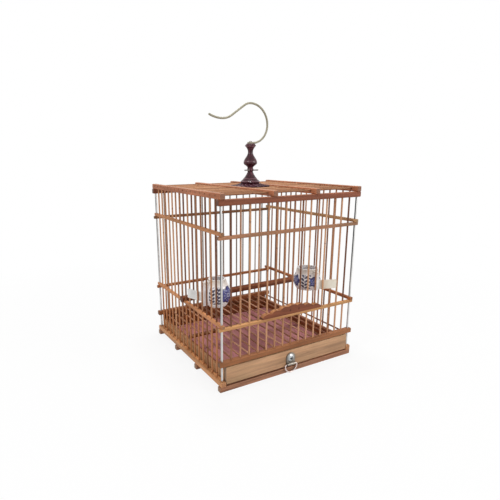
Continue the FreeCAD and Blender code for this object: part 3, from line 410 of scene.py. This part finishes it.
def porcelain(name, node, ear, bare_angle, repeats, start, blossom, columns, band):
    """White glaze with a grey-brown rim, painted with blue blossoms and columns of dark leaves."""
    s = Shader(name)
    low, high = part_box(node)
    radius = MM * min(high.x - low.x, high.y - low.y) / 2
    height = MM * (high.z - low.z)
    # Millimetres from the cup's axis and underside
    spot = s.mapped((MM, MM, MM), (radius - MM * high.x, radius - MM * high.y, -MM * low.z))
    x, y, z = s.split(spot)
    wobble = s.noise(s.mapped((0.3, 0.3, 0.3), vector=spot), detail=2)
    turn = s.math("DIVIDE", s.math("ARCTAN2", y, x), 2 * math.pi)
    around = s.math("MULTIPLY_ADD", turn, repeats, start + POSITIVE_TURNS)
    width = 2 * math.pi * radius / repeats
    # Blossoms
    middle, size = blossom
    shifted = s.math("FRACT", s.math("ADD", around, 0.5))
    across = s.product(s.math("SUBTRACT", shifted, 0.5), width / size)
    rise = s.product(s.math("SUBTRACT", z, middle), 1 / size)
    reach = s.math("SQRT", s.math("ADD", s.product(across, across), s.product(rise, rise)))
    angle = s.math("ARCTAN2", rise, across)
    swell = s.math("COSINE", s.product(angle, PETALS))
    petals = s.math("MULTIPLY_ADD", swell, PETAL_SWELL, PETAL_REACH)
    petals = s.math("MULTIPLY_ADD", wobble, BRUSH_WOBBLE, petals)
    fill = s.math("LESS_THAN", reach, petals)
    off_edge = s.math("ABSOLUTE", s.math("SUBTRACT", reach, petals))
    outline = s.math("LESS_THAN", off_edge, OUTLINE_HALF)
    veins = s.math("GREATER_THAN", s.math("COSINE", s.product(angle, 2 * PETALS)), VEIN_LIMIT)
    veins = s.product(veins, s.within(reach, *VEIN_REACH))
    heart = s.within(reach, *HEART_REACH)
    # Leaves
    side_way = s.product(s.math("SUBTRACT", s.math("FRACT", around), 0.5), width)
    leaves = None
    for index, column in enumerate(columns):
        out = s.math("SUBTRACT", side_way, column)
        level = s.math("MULTIPLY_ADD", z, 1 / LEAF_PITCH, LEAF_STAGGER * index)
        up = s.product(s.math("SUBTRACT", s.math("FRACT", level), 0.5), LEAF_PITCH)
        lean = s.math("MULTIPLY_ADD", out, 0.5 - index % 2, up)
        blot = s.math("ADD", s.math("POWER", s.math("DIVIDE", out, LEAF_HALF[0]), 2.0),
                      s.math("POWER", s.math("DIVIDE", lean, LEAF_HALF[1]), 2.0))
        leaf = s.math("LESS_THAN", blot, s.math("MULTIPLY_ADD", wobble, 1.6, 0.1))
        leaves = s.math("MAXIMUM", leaves, leaf) if leaves else leaf
    bend = s.product(s.math("SINE", s.product(z, STEM_RATE)), STEM_SWING)
    off_stem = s.math("ABSOLUTE", s.math("SUBTRACT", side_way, bend))
    stem = s.math("LESS_THAN", off_stem, STEM_HALF)
    outside = s.math("GREATER_THAN", reach, s.math("ADD", petals, BLOSSOM_MARGIN))
    leaves = s.product(s.math("MAXIMUM", leaves, stem), outside)
    # Bare glaze inside, at the neck, at the foot and on the ear
    side_x, side_y, _ = s.split(s.facing)
    facing_out = s.math("MULTIPLY_ADD", side_x, x, s.product(side_y, y))
    outward = s.math("GREATER_THAN", facing_out, 0.0)
    off_axis = s.math("SQRT", s.math("ADD", s.product(x, x), s.product(y, y)))
    towards = s.math("MULTIPLY_ADD", x, math.cos(ear), s.product(y, math.sin(ear)))
    ear_limit = s.product(off_axis, math.cos(math.radians(bare_angle)))
    beside_ear = s.math("GREATER_THAN", towards, ear_limit)
    bare = s.math("MAXIMUM", s.math("GREATER_THAN", off_axis, radius + EAR_MARGIN), beside_ear)
    painted = s.product(s.math("SUBTRACT", 1.0, bare), s.within(z, *band), outward)
    # Colours
    wash = s.noise(s.mapped((0.34, 0.34, 0.34), vector=spot), detail=4)
    cobalt = s.ramp(wash, ((0.36, tone(32, 28, 78)), (0.5, tone(56, 55, 124)),
                           (0.66, tone(108, 112, 168))))
    navy = s.ramp(wash, ((0.35, tone(22, 16, 46)), (0.65, tone(46, 40, 84))))
    glaze = s.noise(s.mapped((0.08, 0.08, 0.12), vector=spot), detail=3)
    colour = s.ramp(glaze, ((0.3, tone(222, 217, 218)), (0.7, tone(239, 235, 234))))
    neck = s.product(s.span(z, band[1] - 1.0, band[1] + 2.0, 0.0, 0.8), outward)
    colour = s.mix("MIX", neck, colour, tone(228, 218, 208))
    colour = s.mix("MIX", s.product(fill, painted), colour, cobalt)
    pale = s.product(s.math("MAXIMUM", heart, veins), painted, 0.7)
    colour = s.mix("MIX", pale, colour, tone(200, 202, 222))
    drawn = s.product(s.math("MAXIMUM", outline, leaves), painted, 0.95)
    colour = s.mix("MIX", drawn, colour, navy)
    edge = s.math("MULTIPLY_ADD", wobble, 1.6, z)
    rim = s.span(edge, height - RIM_BAND[0], height - RIM_BAND[1], 0.0, 0.6)
    colour = s.mix("MIX", s.product(rim, outward), colour, tone(194, 182, 167))
    s.set("Base Color", colour)
    s.set("Roughness", s.span(glaze, 0.2, 0.8, 0.24, 0.16))
    s.set("Specular IOR Level", 0.4)
    s.set("Coat Weight", 0.15)
    s.set("Coat Roughness", 0.08)
    s.bump(wash, 0.05, 0.0002)
    return s.material


def dress(material, *names):
    """Puts one material on all of each named node."""
    for name in names:
        mesh = nodes[name].data
        mesh.materials.clear()
        mesh.materials.append(material)
        for polygon in mesh.polygons:
            polygon.material_index = 0


# Bars and boards: each bar's tone is set on its own, partly its wood and partly painted light and
# shade for how it faces the lamps
# Dark wood tone, partly painted shade, for the drawer sides' inner faces, the drawer back, the rear
# board and the floor's cross strip
SHADED_BOARD_TONE = (134, 80, 46)
DRAWER_INNER_FACE = 0.0969
# Two small dark marks on the sill's face
SILL_MARKS = ((-0.0045, 0.08775), (0.0095, 0.08775))
# top: a painted highlight in the given tone on faces that look up
dress(wood("red_bar", "x", (126, 72, 49), top=(164, 108, 78)), "top_front_bar", "top_rear_bar")
dress(wood("roof_bar", "y", (177, 111, 78), tint=(184, 126, 90), top=(178, 132, 104)),
      "roof_left_bar", "roof_middle_left_bar", "roof_middle_right_bar", "roof_right_bar")
dress(wood("ring_brown", "x", (165, 117, 87), tint=(144, 118, 92)), "upper_ring_front_bar")
dress(wood("ring_tan", "x", (203, 150, 98), tint=(186, 128, 84)), "lower_ring_front_bar")
dress(wood("ring_olive", "y", (176, 118, 76), tint=(160, 124, 84)), "upper_ring_left_bar")
dress(wood("ring_pale", "y", (196, 152, 108), tint=(188, 142, 100)), "upper_ring_right_bar")
dress(wood("side_tan", "y", (194, 130, 84), tint=(204, 150, 108)), "lower_ring_left_bar")
dress(wood("side_brown", "y", (178, 110, 68)), "lower_ring_right_bar")
dress(wood("rear_olive", "x", (140, 98, 66)), "upper_ring_rear_bar")
dress(wood("rear_brown", "x", (176, 110, 66)), "lower_ring_rear_bar")
dress(wood("rear_dark", "x", (158, 97, 58)), "floor_rear_bar")
dress(wood("floor_bar", "x", (148, 96, 61), tint=(162, 108, 70)), "floor_front_bar")
dress(wood("rail_tan", "y", (199, 141, 94), tint=(208, 156, 112), ends=(178, 126, 88)),
      "bottom_left_rail", "bottom_right_rail")
dress(wood("base_bar", "x", (174, 122, 93), tint=(168, 128, 104), ends=(150, 118, 92)),
      "bottom_front_bar", "bottom_front_runner", "bottom_rear_runner", "bottom_rear_bar")
dress(wood("drawer_face", "x", (194, 152, 117), tint=(177, 149, 112),
           spread=0.18, grain=300, stain=0.2, edge_wear_and_highlight=0.6), "drawer_front")
dress(wood("drawer_side", "y", (192, 146, 104), tint=(186, 146, 106), grain=300, stain=0.2,
           shaded_inside=(DRAWER_INNER_FACE, SHADED_BOARD_TONE)), "drawer_left_side", "drawer_right_side")
dress(wood("dark_board", "x", SHADED_BOARD_TONE), "drawer_back", "rear_board", "floor_cross_strip")
dress(wood("tray_board", "y", (186, 125, 127), tint=(182, 126, 118),
           spread=0.12, grain=180, stain=0.14, rough=0.6), "drawer_bottom")
dress(wood("perch_wood", "x", (118, 66, 40), tint=(140, 84, 54)), "perch")
dress(wood("sill_wood", "x", (126, 71, 47), tint=(136, 82, 54), top=(200, 142, 94),
           dark_marks=SILL_MARKS), "door_sill")

# Sticks
UNDER_DOOR_GAPS = 6
LEFT_WALL_GAPS = 14
FRONT_TONES = ((114, 73, 52), (158, 109, 79), (188, 138, 102), (210, 162, 124))
SIDE_TONES = ((114, 73, 51), (154, 106, 75), (186, 134, 97), (214, 164, 122))
REAR_TONES = ((138, 118, 104), (166, 148, 134), (190, 174, 160))
ROOF_TONES = ((148, 102, 70), (172, 122, 88), (190, 142, 107))
# The floor sticks' darkest tone is painted shade for their shaded sides
FLOOR_TONES_WITH_SHADE = ((130, 82, 58), (178, 126, 98), (206, 158, 130))
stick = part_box("floor_sticks")[1].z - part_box("floor_sticks")[0].z
low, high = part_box("under_door_sticks")
pitch_x = (high.x - low.x - stick) / UNDER_DOOR_GAPS
low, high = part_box("left_wall_sticks")
pitch_y = (high.y - low.y - stick) / LEFT_WALL_GAPS
dress(cane("front_cane", "z", "x", pitch_x, shift=0.5, seed=11, stops=FRONT_TONES,
           lit_low_tone=(208, 158, 122)),
      "front_left_sticks", "front_right_sticks", "under_door_sticks", "door_sticks")
dress(cane("rear_cane", "z", "x", pitch_x, shift=0.5, seed=37, stops=REAR_TONES),
      "rear_wall_sticks")
dress(cane("left_cane", "z", "y", pitch_y, shift=0.5, seed=71, stops=SIDE_TONES,
           lit_low_tone=(190, 128, 84)), "left_wall_sticks")
dress(cane("right_cane", "z", "y", pitch_y, shift=0.5, seed=93, stops=SIDE_TONES,
           lit_low_tone=(176, 118, 80)), "right_wall_sticks")
dress(cane("roof_cane", "x", "y", pitch_y, shift=0.0, seed=5, stops=ROOF_TONES), "roof_sticks")
dress(cane("floor_cane", "y", "x", pitch_x, shift=0.0, seed=59, stops=FLOOR_TONES_WITH_SHADE), "floor_sticks")

# Finial: painted highlight rings on the turned edges; each is a share of the height and the strength
# of its pale ring
RIM_HIGHLIGHTS = ((0.045, 0.5), (0.125, 0.45), (0.56, 0.35), (0.925, 0.5))
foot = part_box("finial_base")[0].z
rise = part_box("finial_spindle")[1].z - foot
highlight_levels = [(foot + share * rise, weight) for share, weight in RIM_HIGHLIGHTS]
finial_lacquer = lacquer("finial_lacquer", (40, 10, 18), (64, 24, 34), (104, 52, 64),
                         dusty=0.1, gloss=0.25, coat=0.22, highlight_rings=highlight_levels)
rosette_lacquer = lacquer("rosette_lacquer", (34, 10, 16), (54, 22, 30), (84, 42, 52),
                          dusty=0.0, gloss=0.05, coat=0.0)
# Painted highlight on the rosette's lobe edges
rosette_highlights = lacquer("rosette_highlights", (84, 52, 62), (116, 82, 94), (148, 114, 126),
                        dusty=0.0, gloss=0.1, coat=0.0)
dress(finial_lacquer, "finial_base", "finial_spindle")

# Metal: the painted shade on one side, a dark reflection painted into the colour, is given by the
# heights it grows between, its tone and the side it is on
PAINTED_SHADE_SIDE = (-0.871, 0.490)
ROD_PAINTED_SHADE = (0.06, 0.15, (70, 74, 72), PAINTED_SHADE_SIDE)
PULL_PAINTED_SHADE = (-1.0, 0.0, (92, 82, 76), PAINTED_SHADE_SIDE)
CROSS_DEPTH = 0.00055
CROSS_RADIUS = 0.0031
low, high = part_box("hanger_screw")
cross = ((low.x + high.x) / 2, low.y + CROSS_DEPTH, (low.z + high.z) / 2, CROSS_RADIUS)
dress(metal("hook_metal", (160, 154, 134), (142, 136, 116), rough=0.6, scale=40, bump=0.0,
            metallic=0.2), "hook_wire")
dress(metal("rod_steel", (226, 224, 222), (200, 198, 196), rough=0.34, shaded_side=ROD_PAINTED_SHADE),
      "corner_rods")
dress(metal("strap_steel", (150, 142, 132), (104, 98, 92), rough=0.4, along="x",
            shaded_side=PULL_PAINTED_SHADE), "hanger_strap")
dress(metal("screw_steel", (184, 186, 186), (128, 130, 130), rough=0.26, along="x",
            shaded_side=PULL_PAINTED_SHADE, shaded_recess=cross), "hanger_screw")
dress(metal("ring_steel", (226, 208, 202), (180, 164, 160), rough=0.3, along="x"), "pull_ring")
dress(metal("pin_steel", (126, 120, 116), (86, 80, 78), rough=0.4), "cross_pin", "swivel_pin")

# Cups and their clips
dress(plastic("white_clip", (228, 227, 225), (202, 200, 198)), "left_cup_clip")
dress(plastic("ivory_clip", (224, 216, 200), (206, 190, 168)), "right_cup_clip")
dress(porcelain("left_porcelain", "left_cup", ear=math.pi, bare_angle=26, repeats=2.6, start=0.483,
                blossom=(17.0, 1.5), columns=(-5.0, 0.3, 5.4, 8.6), band=(5.5, 28.0)), "left_cup")
dress(porcelain("right_porcelain", "right_cup", ear=-math.pi / 2, bare_angle=5, repeats=4,
                start=0.068, blossom=(13.0, 1.0), columns=(-2.5, 2.5, 7.5), band=(3.0, 22.0)),
      "right_cup")


def rosette():
    """The carved boss on the roof: leaning lobes round a flat crown, closed underneath."""
    low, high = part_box("roof_rosette")
    centre = (low + high) / 2
    rim = min(high.x - low.x, high.y - low.y) / 2
    crown = 0.0142
    crown_edge = 0.0006
    hole = 0.0016
    lobes = 18
    steps = lobes * 14
    carved_rows = 14
    wall = 0.0012
    notch = 0.0014
    depth = 0.0019
    roundness = 0.96
    fall = 1.7
    highlight_from = 0.7
    lean = 1.5
    under = 0.0005
    # Rings of points from the hole to the rim; the carved ones know their share of the way
    top = [(hole, None), (crown * 0.6, None), (crown - crown_edge, None)]
    for row in range(carved_rows + 1):
        top.append((crown + (rim - crown) * row / carved_rows, row / carved_rows))
    points = []
    for radius, share in top:
        for step in range(steps):
            turn = 2 * math.pi * step / steps
            if share is None:
                points.append((radius * math.cos(turn), radius * math.sin(turn), high.z))
                continue
            across = (step / steps * lobes + lean * (1 - share)) % 1.0 * 2 - 1
            swell = math.sqrt(1 - roundness * across * across)
            drop = (high.z - low.z - wall) * (1 - (1 - share) ** fall)
            carve = math.sin(math.pi * min(1.0, 0.08 + 0.8 * share)) ** 0.6
            dip = depth * (1 - swell) * carve
            reach = radius - notch * (1 - swell) * share ** 2
            points.append((reach * math.cos(turn), reach * math.sin(turn), high.z - drop - dip))
    last = len(top) - 1
    for height, inset in ((low.z + under, 0.0), (low.z, under)):
        for step in range(steps):
            x, y, z = points[last * steps + step]
            scale = 1 - inset / rim
            points.append((x * scale, y * scale, min(height, z)))
    for step in range(steps):
        turn = 2 * math.pi * step / steps
        points.append((hole * math.cos(turn), hole * math.sin(turn), low.z))
    rows = len(points) // steps
    faces = []
    pale = []
    for row in range(rows):
        after = (row + 1) % rows
        carved = row < last and top[row][1] is not None
        for step in range(steps):
            beside = (step + 1) % steps
            faces.append((row * steps + step, after * steps + step,
                          after * steps + beside, row * steps + beside))
            middle = (top[row][1] + top[after][1]) / 2 if carved else 0.0
            across = ((step + 0.5) / steps * lobes + lean * (1 - middle)) % 1.0 * 2 - 1
            # Painted highlight: faces near each lobe's edge take the pale lacquer
            pale.append(1 if carved and abs(across) > highlight_from else 0)
    mesh = bpy.data.meshes.new("carved_rosette")
    mesh.from_pydata([(x + centre.x, y + centre.y, z) for x, y, z in points], [], faces)
    mesh.materials.append(rosette_lacquer)
    mesh.materials.append(rosette_highlights)
    mesh.polygons.foreach_set("material_index", pale)
    mesh.polygons.foreach_set("use_smooth", [True] * len(mesh.polygons))
    piece = bpy.data.objects.new("carved_rosette", mesh)
    bpy.context.scene.collection.objects.link(piece)
    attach(piece, "cage")
    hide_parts("roof_rosette")


rosette()

# Stage
FLOOR_HALF = 6.0
SHADOW_FADE = (("From Min", 0.18), ("From Max", 0.7), ("To Min", 0.88), ("To Max", 1.0))
WORLD_LIGHT = 0.45
LAMP_AIM = Vector((0, 0, 0.13))
# Name, place, size and power of each lamp
LAMPS = (
    ("key_light", (-1.15, -0.35, 0.8), 0.3, 4.7),
    ("fill_light", (0.8, -1.1, 0.65), 0.6, 8.0),
    ("top_light", (0.05, 0.15, 1.35), 0.25, 9.0),
)
SENSOR_WIDTH = 36.0
LENS = 29.773
SHIFT_X = 0.0519
SHIFT_Y = 0.0276
AZIMUTH = math.radians(-29.36)
ELEVATION = math.radians(14.29)
ROLL = math.radians(0.35)
CAMERA_PLACE = (-0.3218, -0.4960, 0.2762)


def seen_share(tree):
    """1 for what the camera sees, directly or mirrored, and 0 for light on the object."""
    path = tree.nodes.new("ShaderNodeLightPath")
    share = path.outputs["Is Camera Ray"]
    for kind in ("Is Glossy Ray", "Is Transmission Ray"):
        either = tree.nodes.new("ShaderNodeMath")
        either.operation = "MAXIMUM"
        tree.links.new(share, either.inputs[0])
        tree.links.new(path.outputs[kind], either.inputs[1])
        share = either.outputs[0]
    return share


def stage_floor():
    """A wide pale floor that shows as white to the camera and still takes the shadow."""
    mesh = bpy.data.meshes.new("floor")
    corners = [(-FLOOR_HALF, -FLOOR_HALF, 0), (FLOOR_HALF, -FLOOR_HALF, 0),
               (FLOOR_HALF, FLOOR_HALF, 0), (-FLOOR_HALF, FLOOR_HALF, 0)]
    mesh.from_pydata(corners, [], [(0, 1, 2, 3)])
    floor = bpy.data.objects.new("floor", mesh)
    bpy.context.scene.collection.objects.link(floor)
    material = bpy.data.materials.new("pale_floor")
    material.use_nodes = True
    tree = material.node_tree
    surface = tree.nodes["Principled BSDF"]
    surface.inputs["Base Color"].default_value = (0.8, 0.8, 0.8, 1)
    surface.inputs["Roughness"].default_value = 0.9
    surface.inputs["Specular IOR Level"].default_value = 0.0
    glow = tree.nodes.new("ShaderNodeEmission")
    glow.inputs["Strength"].default_value = 1.0
    # The shadow shows near the cage and fades into plain white further out
    place = tree.nodes.new("ShaderNodeTexCoord")
    distance = tree.nodes.new("ShaderNodeVectorMath")
    distance.operation = "LENGTH"
    tree.links.new(place.outputs["Object"], distance.inputs[0])
    fade = tree.nodes.new("ShaderNodeMapRange")
    for key, value in SHADOW_FADE:
        fade.inputs[key].default_value = value
    tree.links.new(distance.outputs["Value"], fade.inputs["Value"])
    share = tree.nodes.new("ShaderNodeMath")
    share.operation = "MULTIPLY"
    tree.links.new(seen_share(tree), share.inputs[0])
    tree.links.new(fade.outputs["Result"], share.inputs[1])
    blend = tree.nodes.new("ShaderNodeMixShader")
    tree.links.new(share.outputs[0], blend.inputs[0])
    tree.links.new(surface.outputs[0], blend.inputs[1])
    tree.links.new(glow.outputs[0], blend.inputs[2])
    tree.links.new(blend.outputs[0], tree.nodes["Material Output"].inputs["Surface"])
    mesh.materials.append(material)


def stage_light():
    """A white world that lights the object gently, and three soft lamps."""
    world = bpy.data.worlds.new("studio")
    bpy.context.scene.world = world
    world.use_nodes = True
    tree = world.node_tree
    base = tree.nodes["Background"]
    base.inputs["Color"].default_value = (1, 1, 1, 1)
    level = tree.nodes.new("ShaderNodeMapRange")
    level.inputs["To Min"].default_value = WORLD_LIGHT
    level.inputs["To Max"].default_value = 1.0
    tree.links.new(seen_share(tree), level.inputs["Value"])
    tree.links.new(level.outputs["Result"], base.inputs["Strength"])
    for name, place, size, power in LAMPS:
        lamp = bpy.data.lights.new(name, "AREA")
        lamp.size = size
        lamp.energy = power
        holder = bpy.data.objects.new(name, lamp)
        bpy.context.scene.collection.objects.link(holder)
        holder.location = place
        aim = LAMP_AIM - Vector(place)
        holder.rotation_euler = aim.to_track_quat("-Z", "Y").to_euler()


def stage_camera():
    """The camera at the photo's viewing angle."""
    data = bpy.data.cameras.new("camera")
    data.sensor_width = SENSOR_WIDTH
    data.lens = LENS
    data.shift_x = SHIFT_X
    data.shift_y = SHIFT_Y
    camera = bpy.data.objects.new("camera", data)
    bpy.context.scene.collection.objects.link(camera)
    flat = math.cos(ELEVATION)
    back = Vector((math.sin(AZIMUTH) * flat, -math.cos(AZIMUTH) * flat, math.sin(ELEVATION)))
    level = Vector((math.cos(AZIMUTH), math.sin(AZIMUTH), 0))
    above = back.cross(level)
    right = level * math.cos(ROLL) - above * math.sin(ROLL)
    up = back.cross(right)
    turn = Matrix((right, up, back)).transposed().to_4x4()
    camera.matrix_world = Matrix.Translation(CAMERA_PLACE) @ turn
    bpy.context.scene.camera = camera


stage_floor()
stage_light()
stage_camera()
bpy.context.scene.view_settings.view_transform = "Standard"
